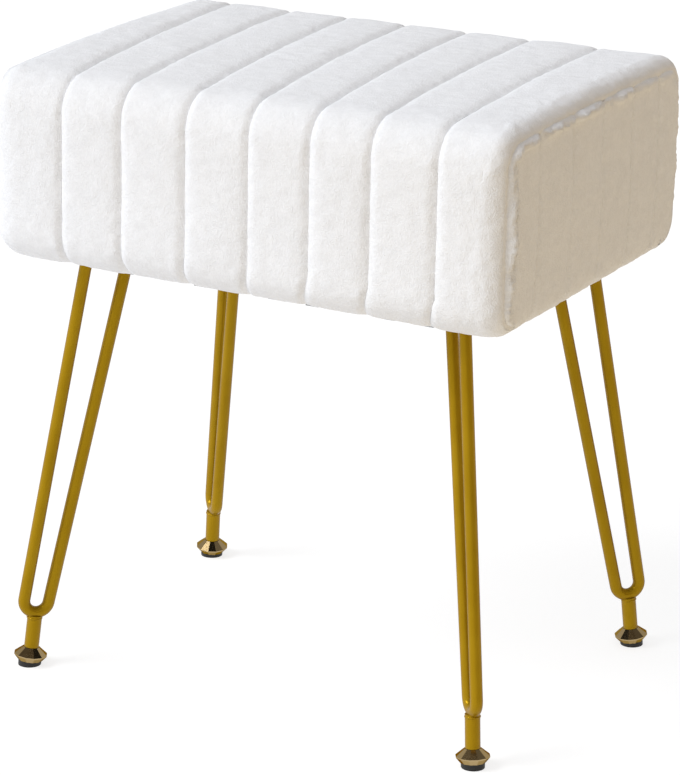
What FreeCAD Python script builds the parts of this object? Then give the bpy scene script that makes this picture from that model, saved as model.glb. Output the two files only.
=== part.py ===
import FreeCAD, Part
import math
import os

import Sketcher

# A vanity stool: a deep plush seat with sewn channels, on four hairpin legs of
# bent steel rod. Millimetres, +Z up, +X along the seat's long side, the sitter
# in front at -Y. The origin is on the floor under the middle of the seat.

doc = FreeCAD.newDocument("VanityStool")
sizes = doc.addObject("Spreadsheet::Sheet", "Sizes")

DIMENSIONS = {
    # seat, measured over the tips of the fur
    "total_height": 460,
    "seat_length": 408,
    "seat_depth": 298,
    "seat_thickness": 147,
    "crown_radius": 3000,
    "top_edge_radius": 28,
    "bottom_edge_radius": 20,
    "end_roll_radius": 18,
    # quilted cover: fur, wadding and backing together
    "cover_thickness": 7,
    "channel_count": 8,
    "channel_pitch": 50,
    "channel_groove": 4,
    "end_channel_count": 6,
    "end_channel_groove": 2.5,
    "end_crown": 3,
    "end_bottom_radius": 14,
    "long_flap_width": 9,
    "end_flap_width": 22,
    # board, foam and underside
    "soft_gap": 0.3,
    "fit_gap": 0.1,
    "board_thickness": 12,
    "board_inset": 20,
    "board_corner_radius": 8,
    "dust_cover_thickness": 0.6,
    # staples of flat wire
    "staple_width": 10,
    "staple_wire": 0.7,
    "staple_leg": 12,
    "long_staple_count": 12,
    "end_staple_count": 7,
    "staple_edge_margin": 4.5,
    # leg plates and their bolts
    "plate_width": 56,
    "plate_thickness": 3,
    "plate_corner_radius": 6,
    "bolt_spacing": 40,
    "bolt_diameter": 6,
    "bolt_hole_diameter": 6.6,
    "bolt_length": 14,
    "bolt_head_diameter": 10.5,
    "bolt_head_height": 3,
    "hex_key_size": 4,
    "hex_key_depth": 2,
    "nut_barrel_diameter": 8,
    "nut_flange_diameter": 18,
    "nut_flange_thickness": 1.5,
    "nut_length": 10,
    # hairpin legs
    "foot_end_inset": 19.6,
    "foot_side_inset": 15.1,
    "leg_reach": 61.3,
    "rod_spacing": 31,
    "rod_diameter": 9,
    "bend_radius": 9.3,
    "bend_height": 40.5,
    # tapped stub under each bend, and its levelling foot
    "foot_lean": 6.5,
    "stub_diameter": 11,
    "stub_weld_depth": 2.5,
    "stub_hole_depth": 19,
    "stud_diameter": 6,
    "stud_gap": 0.05,
    "stud_reach": 17,
    "stud_tip_chamfer": 0.8,
    "flange_sides": 12,
    "flange_diameter": 25,
    "flange_rim": 0.8,
    "flange_rim_height": 8,
    "flange_top_diameter": 12,
    "flange_bottom_diameter": 18.6,
    "flange_top_height": 13.8,
    "stop_gap": 0.15,
    "swivel_gap": 0.1,
    "pad_diameter": 17.3,
    "pad_taper": 0.4,
    "pad_height": 3.6,
    "pin_diameter": 7,
    "pin_height": 2,
}

for row, (alias, amount) in enumerate(DIMENSIONS.items(), start=1):
    sizes.set(f"A{row}", alias)
    sizes.set(f"B{row}", str(amount))
    sizes.setAlias(f"B{row}", alias)
doc.recompute()

Z_AXIS = FreeCAD.Vector(0, 0, 1)

# Levels and half sizes that several pieces share, as expressions on the sheet.
HALF_LENGTH = "(Sizes.seat_length / 2)"
HALF_DEPTH = "(Sizes.seat_depth / 2)"
UNDERSIDE = "(Sizes.total_height - Sizes.seat_thickness)"
BOARD_BOTTOM = f"({UNDERSIDE} + Sizes.cover_thickness)"
BOARD_TOP = f"({BOARD_BOTTOM} + Sizes.board_thickness)"
PLATE_TOP = f"({BOARD_BOTTOM} - Sizes.dust_cover_thickness)"
PLATE_BOTTOM = f"({PLATE_TOP} - Sizes.plate_thickness)"
BOARD_HALF_LENGTH = f"({HALF_LENGTH} - Sizes.board_inset)"
BOARD_HALF_DEPTH = f"({HALF_DEPTH} - Sizes.board_inset)"
LONG_FLAP_EDGE = f"({HALF_DEPTH} - Sizes.bottom_edge_radius - Sizes.long_flap_width)"
END_INNER_FACE = f"({HALF_LENGTH} - Sizes.cover_thickness)"
END_FLAP_EDGE = f"({END_INNER_FACE} - Sizes.end_flap_width)"
FOAM_INSET = "(Sizes.cover_thickness + Sizes.soft_gap)"
FOOT_X = f"({HALF_LENGTH} - Sizes.foot_end_inset)"
FOOT_Y = f"({HALF_DEPTH} - Sizes.foot_side_inset)"
PLATE_X = f"({FOOT_X} - Sizes.leg_reach * cos(45))"
PLATE_Y = f"({FOOT_Y} - Sizes.leg_reach * cos(45))"
PAD_TOP = "(Sizes.pad_height)"
FLANGE_BOTTOM = f"({PAD_TOP} + Sizes.swivel_gap)"
STUB_BOTTOM = "(Sizes.flange_top_height + Sizes.stop_gap)"

# Each leg's name, its corner of the seat and the turn of its plane about Z.
LEGS = [
    ("front_left", -1, -1, 225),
    ("front_right", 1, -1, 315),
    ("back_left", -1, 1, 135),
    ("back_right", 1, 1, 45),
]

finished = []


def number(expression):
    """The value that an expression on the sheet has now."""
    return float(sizes.evalExpression(expression))


def count(expression):
    return int(round(number(expression)))


def bind(item, **expressions):
    """Tie properties of a document object to expressions on the sheet."""
    for name, expression in expressions.items():
        item.setExpression(name, expression)


def keep(item, label):
    """Name a finished piece, which also names its file."""
    item.Label = label
    finished.append(item)
    return item


def body(name, placement=None):
    part_body = doc.addObject("PartDesign::Body", name)
    if placement:
        bind(part_body, Placement=placement)
    return part_body


def plane_sketch(owner, name, role, offset="0"):
    """An empty sketch on one of the body's origin planes, shifted along its normal."""
    sketch = owner.newObject("Sketcher::SketchObject", name)
    planes = [item for item in owner.Origin.OriginFeatures if item.Role == role]
    sketch.AttachmentSupport = [(planes[0], "")]
    sketch.MapMode = "FlatFace"
    sketch.setExpression(".AttachmentOffset.Base.z", offset)
    return sketch


def tie(sketch, kind, *where, to):
    """Add a dimension to a sketch and tie it to an expression."""
    index = sketch.addConstraint(Sketcher.Constraint(kind, *where, number(to)))
    sketch.setExpression(f"Constraints[{index}]", to)


def pin_point(sketch, edge, end, x, y):
    """Fix one end of an edge at x, y from the sketch's origin."""
    tie(sketch, "DistanceX", -1, 1, edge, end, to=x)
    tie(sketch, "DistanceY", -1, 1, edge, end, to=y)


def arc_between(begin, finish, radius, side):
    """An arc of under half a circle. side 1 turns left on the way, side -1 turns right."""
    chord = finish - begin
    height = math.sqrt(radius ** 2 - (chord.Length / 2) ** 2)
    across = FreeCAD.Vector(-chord.y, chord.x, 0).normalize()
    centre = begin + chord / 2 + across * height * side
    circle = Part.Circle(centre, Z_AXIS, radius)
    first, last = (begin, finish) if side > 0 else (finish, begin)
    start_angle = math.atan2(first.y - centre.y, first.x - centre.x)
    end_angle = math.atan2(last.y - centre.y, last.x - centre.x)
    return Part.ArcOfCircle(circle, start_angle, end_angle)


def draw(sketch, start, steps, closed=True):
    """Draw lines and arcs from point to point, with every point and radius tied to the sheet.

    A step is (x, y) for a line or (x, y, radius, side) for an arc.
    """
    points = [start] + [step[:2] for step in steps]
    if closed:
        points[-1] = start
    corners = [FreeCAD.Vector(number(x), number(y), 0) for x, y in points]
    joints = []
    for index, step in enumerate(steps):
        begin, finish = corners[index], corners[index + 1]
        if len(step) == 2:
            edge = sketch.addGeometry(Part.LineSegment(begin, finish), False)
            joints.append((edge, 1, 2))
        else:
            arc = arc_between(begin, finish, number(step[2]), step[3])
            edge = sketch.addGeometry(arc, False)
            joints.append((edge, 1, 2) if step[3] > 0 else (edge, 2, 1))
            tie(sketch, "Radius", edge, to=step[2])
    for index, (edge, entry, leave) in enumerate(joints):
        pin_point(sketch, edge, entry, *points[index])
        if closed or index + 1 < len(joints):
            next_edge, next_entry, _ = joints[(index + 1) % len(joints)]
            sketch.addConstraint(Sketcher.Constraint("Coincident", edge, leave, next_edge, next_entry))
        else:
            pin_point(sketch, edge, leave, *points[index + 1])


def circles(sketch, diameter, spots):
    """Draw a circle of one diameter at each spot, all tied to the sheet."""
    for x, y in spots:
        centre = FreeCAD.Vector(number(x), number(y), 0)
        circle = Part.Circle(centre, Z_AXIS, number(diameter) / 2)
        edge = sketch.addGeometry(circle, False)
        tie(sketch, "Diameter", edge, to=diameter)
        pin_point(sketch, edge, 3, x, y)


def rectangle(half_x, half_y):
    """Start and steps of a rectangle about the sketch's origin."""
    start = (f"-{half_x}", f"-{half_y}")
    steps = [(half_x, f"-{half_y}"), (half_x, half_y), (f"-{half_x}", half_y), start]
    return start, steps


def round_rectangle(half_x, half_y, radius):
    """Start and steps of a rectangle with round corners about the sketch's origin."""
    near_x = f"({half_x} - {radius})"
    near_y = f"({half_y} - {radius})"
    start = (f"-{near_x}", f"-{half_y}")
    steps = [
        (near_x, f"-{half_y}"),
        (half_x, f"-{near_y}", radius, 1),
        (half_x, near_y),
        (near_x, half_y, radius, 1),
        (f"-{near_x}", half_y),
        (f"-{half_x}", near_y, radius, 1),
        (f"-{half_x}", f"-{near_y}"),
        start + (radius, 1),
    ]
    return start, steps


def pad(owner, name, sketch, length, symmetric=False, backwards=False):
    feature = owner.newObject("PartDesign::Pad", name)
    feature.Profile = sketch
    feature.SideType = "Symmetric" if symmetric else "One side"
    feature.Reversed = backwards
    bind(feature, Length=length)
    return feature


def pocket(owner, name, sketch, length=None, symmetric=False, backwards=False):
    """Cut a sketch out of the body, to a length or through all of it."""
    feature = owner.newObject("PartDesign::Pocket", name)
    feature.Profile = sketch
    feature.SideType = "Symmetric" if symmetric else "One side"
    feature.Reversed = backwards
    if length:
        bind(feature, Length=length)
    else:
        feature.Type = "ThroughAll"
    return feature


def bolt_spots(sign_x, sign_y):
    """The four bolt places of one leg, from the middle of the stool."""
    spots = []
    for step_x in (-1, 1):
        for step_y in (-1, 1):
            x = f"({sign_x} * {PLATE_X} + {step_x} * Sizes.bolt_spacing / 2)"
            y = f"({sign_y} * {PLATE_Y} + {step_y} * Sizes.bolt_spacing / 2)"
            spots.append((x, y))
    return spots


def all_bolt_spots():
    return [spot for _, sign_x, sign_y, _ in LEGS for spot in bolt_spots(sign_x, sign_y)]


def at(x, y, z, turn="0", lean="0"):
    """A placement, turned about Z and then leaned about its own Y, as an expression."""
    turned = f"rotation(vector(0; 0; 1); {turn})"
    leaned = f"rotation(vector(0; 1; 0); {lean})"
    return f"placement(vector({x}; {y}; {z}); {turned} * {leaned})"


def leg_place(sign_x, sign_y, turn, lean="0"):
    """The frame of one leg: its foot's middle on the floor, +X outwards along the diagonal."""
    return at(f"{sign_x} * {FOOT_X}", f"{sign_y} * {FOOT_Y}", "0", str(turn), lean)


def group(label, master, places):
    """One piece made of equal copies, such as a leg's four bolts."""
    copies = []
    for index, place in enumerate(places, start=1):
        link = doc.addObject("App::Link", f"{label}_{index}")
        link.LinkedObject = master
        bind(link, LinkPlacement=place)
        copies.append(link)
    compound = doc.addObject("Part::Compound", f"{label}_group")
    compound.Links = copies
    return keep(compound, label)


def seat_section(sketch, inset, closed, sole=()):
    """The seat's outline seen from its end, or a copy drawn in by the inset all round.

    The top is one shallow crown between two round edges. Left open, the outline ends
    at the two flaps under the seat. Closed, it comes back along the sole's points, if
    there are any, or straight across.
    """
    side = f"({HALF_DEPTH} - {inset})"
    bottom = f"({UNDERSIDE} + {inset})"
    crown = f"(Sizes.crown_radius - {inset})"
    crown_centre = "(Sizes.total_height - Sizes.crown_radius)"
    top_radius = f"(Sizes.top_edge_radius - {inset})"
    low_radius = f"(Sizes.bottom_edge_radius - {inset})"
    edge_y = f"({HALF_DEPTH} - Sizes.top_edge_radius)"
    reach = "(Sizes.crown_radius - Sizes.top_edge_radius)"
    rise = f"sqrt({reach}^2 - {edge_y}^2)"
    edge_z = f"({crown_centre} + {rise})"
    crown_y = f"({crown} * {edge_y} / {reach})"
    crown_z = f"({crown_centre} + {crown} * {rise} / {reach})"
    low_y = f"({HALF_DEPTH} - Sizes.bottom_edge_radius)"
    low_z = f"({UNDERSIDE} + Sizes.bottom_edge_radius)"
    low_left = (f"-{low_y}", bottom)
    steps = [
        (f"-{side}", low_z, low_radius, -1),
        (f"-{side}", edge_z),
        (f"-{crown_y}", crown_z, top_radius, -1),
        (crown_y, crown_z, crown, -1),
        (side, edge_z, top_radius, -1),
        (side, low_z),
        (low_y, bottom, low_radius, -1),
    ]
    if closed:
        draw(sketch, low_left, steps + list(sole) + [low_left])
    else:
        start = (f"-{LONG_FLAP_EDGE}", bottom)
        draw(sketch, start, [low_left] + steps + [(LONG_FLAP_EDGE, bottom)], closed=False)


def bulge_radius(width, height):
    """The radius of an arc that stands out by a height over a width, as an expression."""
    return f"(({width})^2 / (8 * {height}) + {height} / 2)"


def scallops(first, number_of_arcs, pitch, level, groove):
    """Steps of equal arcs side by side along x, which bulge down from their seams."""
    radius = bulge_radius(pitch, groove)
    seam = f"({level} + {groove})"
    places = range(1, number_of_arcs + 1)
    return [(f"({first} + {index} * {pitch})", seam, radius, 1) for index in places]


def make_cover_wrap():
    """One quilted strip with sewn channels: up the front, over the top and down the back."""
    wrap = body("CoverWrap")
    path = plane_sketch(wrap, "WrapPath", "YZ_Plane")
    seat_section(path, "0", closed=False)
    profile = plane_sketch(wrap, "WrapProfile", "XZ_Plane", LONG_FLAP_EDGE)
    inner = BOARD_BOTTOM
    roll = "Sizes.end_roll_radius"
    roll_x = f"({HALF_LENGTH} - {roll})"
    end_x = f"({roll_x} + sqrt({roll}^2 - ({roll} - Sizes.cover_thickness)^2))"
    inner_channels = count("Sizes.channel_count") - 2
    first_seam = f"(-Sizes.channel_pitch * {inner_channels} / 2)"
    last_seam = f"(Sizes.channel_pitch * {inner_channels} / 2)"
    groove = "Sizes.channel_groove"
    seam_z = f"({UNDERSIDE} + {groove})"
    arc_radius = bulge_radius("Sizes.channel_pitch", groove)
    steps = [
        (f"-{roll_x}", UNDERSIDE, roll, 1),
        (f"({first_seam} - Sizes.channel_pitch / 2)", UNDERSIDE),
        (first_seam, seam_z, arc_radius, 1),
    ]
    steps += scallops(first_seam, inner_channels, "Sizes.channel_pitch", UNDERSIDE, groove)
    steps += [
        (f"({last_seam} + Sizes.channel_pitch / 2)", UNDERSIDE, arc_radius, 1),
        (roll_x, UNDERSIDE),
        (end_x, inner, roll, 1),
        (f"-{end_x}", inner),
    ]
    draw(profile, (f"-{end_x}", inner), steps)
    pipe = wrap.newObject("PartDesign::AdditivePipe", "WrapPipe")
    pipe.Profile = profile
    pipe.Spine = path
    pipe.Mode = "Standard"
    pipe.Transition = "Transformed"
    return keep(wrap, "cover_wrap")


def make_end_panel(name, label, turn):
    """A quilted end panel with upright channels and a flap that turns in under the seat."""
    panel = body(name, at("0", "0", "0", turn))
    half_width = f"({HALF_DEPTH} - {FOAM_INSET})"
    arcs = count("Sizes.end_channel_count")
    pitch = f"(2 * {half_width} / {arcs})"
    groove = "Sizes.end_channel_groove"
    radius = bulge_radius(pitch, groove)
    seam_x = f"({HALF_LENGTH} - {groove})"
    outline = plane_sketch(panel, f"{name}Channels", "XY_Plane", UNDERSIDE)
    start = (END_FLAP_EDGE, f"-{half_width}")
    steps = [(seam_x, f"-{half_width}")]
    for index in range(1, arcs + 1):
        steps.append((seam_x, f"({index} * {pitch} - {half_width})", radius, 1))
    draw(outline, start, steps + [(END_FLAP_EDGE, half_width), start])
    pad(panel, f"{name}Slab", outline, f"(Sizes.seat_thickness - {FOAM_INSET})")

    hollow = plane_sketch(panel, f"{name}Hollow", "XZ_Plane")
    beyond_x = f"({END_FLAP_EDGE} - Sizes.cover_thickness)"
    start = (beyond_x, BOARD_BOTTOM)
    draw(hollow, start, [
        (END_INNER_FACE, BOARD_BOTTOM),
        (END_INNER_FACE, "Sizes.total_height"),
        (beyond_x, "Sizes.total_height"),
        start,
    ])
    pocket(panel, f"{name}Inside", hollow, symmetric=True)

    trim = plane_sketch(panel, f"{name}Section", "YZ_Plane")
    flap_y = f"({LONG_FLAP_EDGE} - Sizes.soft_gap)"
    lap = f"({UNDERSIDE} + {FOAM_INSET})"
    sole = [(flap_y, lap), (flap_y, UNDERSIDE), (f"-{flap_y}", UNDERSIDE), (f"-{flap_y}", lap)]
    seat_section(trim, FOAM_INSET, closed=True, sole=sole)
    draw(trim, *rectangle("Sizes.seat_depth", "Sizes.total_height"))
    pocket(panel, f"{name}Trim", trim, backwards=True)

    edge = plane_sketch(panel, f"{name}EdgeOutline", "XZ_Plane")
    low_radius = "Sizes.end_bottom_radius"
    bulge = "Sizes.end_crown"
    face_x = f"({HALF_LENGTH} - {bulge})"
    low_z = f"({UNDERSIDE} + {low_radius})"
    crown = bulge_radius(f"{low_z} - Sizes.total_height", bulge)
    clear_x = f"({HALF_LENGTH} + {low_radius})"
    clear_z = f"({UNDERSIDE} - {low_radius})"
    start = (f"({face_x} - {low_radius})", UNDERSIDE)
    draw(edge, start, [
        (face_x, low_z, low_radius, 1),
        (face_x, "Sizes.total_height", crown, 1),
        (clear_x, "Sizes.total_height"),
        (clear_x, clear_z),
        (f"({face_x} - {low_radius})", clear_z),
        start,
    ])
    pocket(panel, f"{name}Edge", edge, symmetric=True)
    return keep(panel, label)


def make_foam_block():
    """The foam block, which fills the cover and wraps the edges of the board."""
    foam = body("FoamBlock")
    section = plane_sketch(foam, "FoamSection", "YZ_Plane")
    seat_section(section, FOAM_INSET, closed=True)
    pad(foam, "FoamPad", section, f"(2 * ({END_INNER_FACE} - Sizes.soft_gap))", symmetric=True)
    recess = plane_sketch(foam, "BoardRecess", "XY_Plane", BOARD_TOP)
    half_x = f"({BOARD_HALF_LENGTH} + Sizes.soft_gap)"
    half_y = f"({BOARD_HALF_DEPTH} + Sizes.soft_gap)"
    draw(recess, *round_rectangle(half_x, half_y, "Sizes.board_corner_radius"))
    pocket(foam, "BoardPocket", recess)
    return keep(foam, "foam_block")


def make_seat_board():
    """The plywood board, drilled for the nuts that take the leg bolts."""
    board = body("SeatBoard")
    outline = plane_sketch(board, "BoardOutline", "XY_Plane", BOARD_BOTTOM)
    draw(outline, *round_rectangle(BOARD_HALF_LENGTH, BOARD_HALF_DEPTH, "Sizes.board_corner_radius"))
    pad(board, "BoardPad", outline, "Sizes.board_thickness")
    holes = plane_sketch(board, "NutHoles", "XY_Plane", BOARD_TOP)
    circles(holes, "(Sizes.nut_barrel_diameter + 2 * Sizes.fit_gap)", all_bolt_spots())
    pocket(board, "NutDrill", holes)
    seats = plane_sketch(board, "NutSeats", "XY_Plane", BOARD_TOP)
    circles(seats, "(Sizes.nut_flange_diameter + 2 * Sizes.fit_gap)", all_bolt_spots())
    pocket(board, "NutCounterbore", seats, "Sizes.nut_flange_thickness")
    return keep(board, "seat_board")


def make_dust_cover():
    """The thin black cloth that closes the underside inside the flaps."""
    cloth = body("DustCover")
    outline = plane_sketch(cloth, "DustOutline", "XY_Plane", PLATE_TOP)
    half_x = f"({END_FLAP_EDGE} - Sizes.soft_gap)"
    half_y = f"({LONG_FLAP_EDGE} - Sizes.soft_gap)"
    draw(outline, *rectangle(half_x, half_y))
    circles(outline, "(Sizes.bolt_hole_diameter)", all_bolt_spots())
    pad(cloth, "DustPad", outline, "Sizes.dust_cover_thickness")
    return keep(cloth, "dust_cover")


def make_staple():
    """One staple, driven upwards, with the middle of its crown on the origin."""
    staple = body("Staple")
    outline = plane_sketch(staple, "StapleOutline", "XZ_Plane")
    half = "(Sizes.staple_width / 2)"
    inner = f"({half} - Sizes.staple_wire)"
    start = (f"-{half}", "(-Sizes.staple_wire)")
    draw(outline, start, [
        (half, "(-Sizes.staple_wire)"),
        (half, "Sizes.staple_leg"),
        (inner, "Sizes.staple_leg"),
        (inner, "0"),
        (f"-{inner}", "0"),
        (f"-{inner}", "Sizes.staple_leg"),
        (f"-{half}", "Sizes.staple_leg"),
        start,
    ])
    pad(staple, "StaplePad", outline, "Sizes.staple_wire", symmetric=True)
    return staple


def staple_places():
    """Rows of staples through the four flaps, along the edges of the board."""
    places = []
    row_y = f"({BOARD_HALF_DEPTH} - Sizes.staple_edge_margin)"
    long_count = count("Sizes.long_staple_count")
    long_reach = f"({END_FLAP_EDGE} - Sizes.staple_width)"
    for index in range(long_count):
        x = f"({long_reach} * {2 * index - long_count + 1} / {long_count - 1})"
        places += [at(x, f"{side}{row_y}", UNDERSIDE) for side in ("", "-")]
    row_x = f"(({BOARD_HALF_LENGTH} + {END_FLAP_EDGE}) / 2)"
    end_count = count("Sizes.end_staple_count")
    end_reach = f"({LONG_FLAP_EDGE} - Sizes.staple_width)"
    for index in range(end_count):
        y = f"({end_reach} * {2 * index - end_count + 1} / {end_count - 1})"
        places += [at(f"{side}{row_x}", y, UNDERSIDE, "90") for side in ("", "-")]
    return places


def make_bolt():
    """A button-head bolt, head down, with the underside of its head on the origin."""
    bolt = body("Bolt")
    outline = plane_sketch(bolt, "BoltOutline", "XZ_Plane")
    shank = "(Sizes.bolt_diameter / 2)"
    head = "(Sizes.bolt_head_diameter / 2)"
    dome = bulge_radius("Sizes.bolt_head_diameter", "Sizes.bolt_head_height")
    start = ("0", "(-Sizes.bolt_head_height)")
    draw(outline, start, [
        (head, "0", dome, 1),
        (shank, "0"),
        (shank, "Sizes.bolt_length"),
        ("0", "Sizes.bolt_length"),
        start,
    ])
    turned = bolt.newObject("PartDesign::Revolution", "BoltTurned")
    turned.Profile = outline
    turned.ReferenceAxis = (outline, ["V_Axis"])
    key = plane_sketch(bolt, "KeyOutline", "XY_Plane", "(-Sizes.bolt_head_height)")
    corner = "(Sizes.hex_key_size / sqrt(3))"
    corners = [(f"({corner} * cos({60 * step}))", f"({corner} * sin({60 * step}))") for step in range(6)]
    draw(key, corners[0], corners[1:] + corners[:1])
    pocket(bolt, "KeySocket", key, "Sizes.hex_key_depth", backwards=True)
    return bolt


def make_nut():
    """A tee nut, flange up, with the top of its flange on the origin."""
    nut = body("TeeNut")
    outline = plane_sketch(nut, "NutOutline", "XZ_Plane")
    bore = "(Sizes.bolt_diameter / 2 + Sizes.fit_gap)"
    barrel = "(Sizes.nut_barrel_diameter / 2)"
    flange = "(Sizes.nut_flange_diameter / 2)"
    low = "(-Sizes.nut_length)"
    step = "(-Sizes.nut_flange_thickness)"
    start = (bore, low)
    draw(outline, start, [(barrel, low), (barrel, step), (flange, step), (flange, "0"), (bore, "0"), start])
    turned = nut.newObject("PartDesign::Revolution", "NutTurned")
    turned.Profile = outline
    turned.ReferenceAxis = (outline, ["V_Axis"])
    return nut


def make_plate(leg, sign_x, sign_y):
    """The steel plate on top of a leg, with four bolt holes."""
    plate = body(f"{leg}_PlateBody", at(f"{sign_x} * {PLATE_X}", f"{sign_y} * {PLATE_Y}", PLATE_BOTTOM))
    outline = plane_sketch(plate, f"{leg}_PlateOutline", "XY_Plane")
    half = "(Sizes.plate_width / 2)"
    draw(outline, *round_rectangle(half, half, "Sizes.plate_corner_radius"))
    spacing = "(Sizes.bolt_spacing / 2)"
    corners = [(f"({x} * {spacing})", f"({y} * {spacing})") for x in (-1, 1) for y in (-1, 1)]
    circles(outline, "Sizes.bolt_hole_diameter", corners)
    pad(plate, f"{leg}_PlatePad", outline, "Sizes.plate_thickness")
    return keep(plate, f"{leg}_plate")


def make_rod(leg, place):
    """One steel rod bent into a hairpin, sawn off level where it meets the plate."""
    rod = body(f"{leg}_RodBody", place)
    path = plane_sketch(rod, f"{leg}_RodPath", "XZ_Plane")
    centre_z = "(Sizes.bend_height + Sizes.bend_radius)"
    centre_x = f"(-{centre_z} * tan(Sizes.foot_lean))"
    outer_x = "(Sizes.rod_spacing / 2 - Sizes.leg_reach)"
    inner_x = "(-Sizes.rod_spacing / 2 - Sizes.leg_reach)"
    saw_top = f"({PLATE_BOTTOM} + Sizes.rod_diameter)"
    centre = FreeCAD.Vector(number(centre_x), number(centre_z), 0)
    radius = number("Sizes.bend_radius")
    top = number(saw_top)
    level = number(PLATE_BOTTOM)

    def straight(x, side):
        """A straight of the hairpin: its sawn end, its touch on the bend, its weld, its angle."""
        weld = FreeCAD.Vector(number(x), level, 0)
        away = weld - centre
        angle = math.atan2(away.y, away.x) - side * math.acos(radius / away.Length)
        touch = centre + FreeCAD.Vector(math.cos(angle), math.sin(angle), 0) * radius
        crest = touch + (weld - touch) * (top - touch.y) / (level - touch.y)
        return crest, touch, weld, angle

    outer_top, outer_touch, outer_weld, outer_angle = straight(outer_x, 1)
    inner_top, inner_touch, inner_weld, inner_angle = straight(inner_x, -1)
    bend = Part.ArcOfCircle(Part.Circle(centre, Z_AXIS, radius), inner_angle, outer_angle)
    outer_line = path.addGeometry(Part.LineSegment(outer_top, outer_touch), False)
    bend_arc = path.addGeometry(bend, False)
    inner_line = path.addGeometry(Part.LineSegment(inner_touch, inner_top), False)
    path.addConstraint(Sketcher.Constraint("Tangent", outer_line, 2, bend_arc, 2))
    path.addConstraint(Sketcher.Constraint("Tangent", bend_arc, 1, inner_line, 1))
    tie(path, "Radius", bend_arc, to="Sizes.bend_radius")
    pin_point(path, bend_arc, 3, centre_x, centre_z)
    tie(path, "DistanceY", -1, 1, outer_line, 1, to=saw_top)
    tie(path, "DistanceY", -1, 1, inner_line, 2, to=saw_top)
    for line, weld, x in ((outer_line, outer_weld, outer_x), (inner_line, inner_weld, inner_x)):
        mark = path.addGeometry(Part.Point(weld), True)
        pin_point(path, mark, 1, x, PLATE_BOTTOM)
        path.addConstraint(Sketcher.Constraint("PointOnObject", mark, 1, line))
    doc.recompute()
    profile = rod.newObject("Sketcher::SketchObject", f"{leg}_RodProfile")
    profile.AttachmentSupport = [(path, "Edge1"), (path, "Vertex1")]
    profile.MapMode = "NormalToEdge"
    circles(profile, "Sizes.rod_diameter", [("0", "0")])
    pipe = rod.newObject("PartDesign::AdditivePipe", f"{leg}_RodPipe")
    pipe.Profile = profile
    pipe.Spine = path
    saw = plane_sketch(rod, f"{leg}_SawOutline", "XY_Plane", PLATE_BOTTOM)
    draw(saw, *rectangle("(2 * Sizes.leg_reach)", "Sizes.rod_spacing"))
    pocket(rod, f"{leg}_SawCut", saw, "(3 * Sizes.rod_diameter)", backwards=True)
    return keep(rod, f"{leg}_rod")


def make_stub(leg, leaning, rod):
    """The round stub welded under the bend, tapped from below for the foot's stud."""
    blank = body(f"{leg}_StubBody", leaning)
    outline = plane_sketch(blank, f"{leg}_StubOutline", "XY_Plane", STUB_BOTTOM)
    circles(outline, "Sizes.stub_diameter", [("0", "0")])
    rod_bottom = "(Sizes.bend_height - Sizes.rod_diameter / 2)"
    length = f"({rod_bottom} / cos(Sizes.foot_lean) + Sizes.stub_weld_depth - {STUB_BOTTOM})"
    pad(blank, f"{leg}_StubPad", outline, length)
    hole = plane_sketch(blank, f"{leg}_StubHole", "XY_Plane", STUB_BOTTOM)
    circles(hole, "(Sizes.stud_diameter + 2 * Sizes.stud_gap)", [("0", "0")])
    pocket(blank, f"{leg}_StubDrill", hole, "Sizes.stub_hole_depth", backwards=True)
    stub = doc.addObject("Part::Cut", f"{leg}_StubCut")
    stub.Base = blank
    stub.Tool = rod
    return keep(stub, f"{leg}_stub")


def make_stud(leg, leaning):
    """The threaded stud that is pressed into the flange."""
    stud = body(f"{leg}_StudBody", leaning)
    outline = plane_sketch(stud, f"{leg}_StudOutline", "XZ_Plane")
    radius = "(Sizes.stud_diameter / 2)"
    low = f"({FLANGE_BOTTOM} + Sizes.pin_height)"
    tip = "(Sizes.flange_top_height + Sizes.stud_reach)"
    start = ("0", low)
    draw(outline, start, [
        (radius, low),
        (radius, f"({tip} - Sizes.stud_tip_chamfer)"),
        (f"({radius} - Sizes.stud_tip_chamfer)", tip),
        ("0", tip),
        start,
    ])
    turned = stud.newObject("PartDesign::Revolution", f"{leg}_StudTurned")
    turned.Profile = outline
    turned.ReferenceAxis = (outline, ["V_Axis"])
    return keep(stud, f"{leg}_stud")


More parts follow.
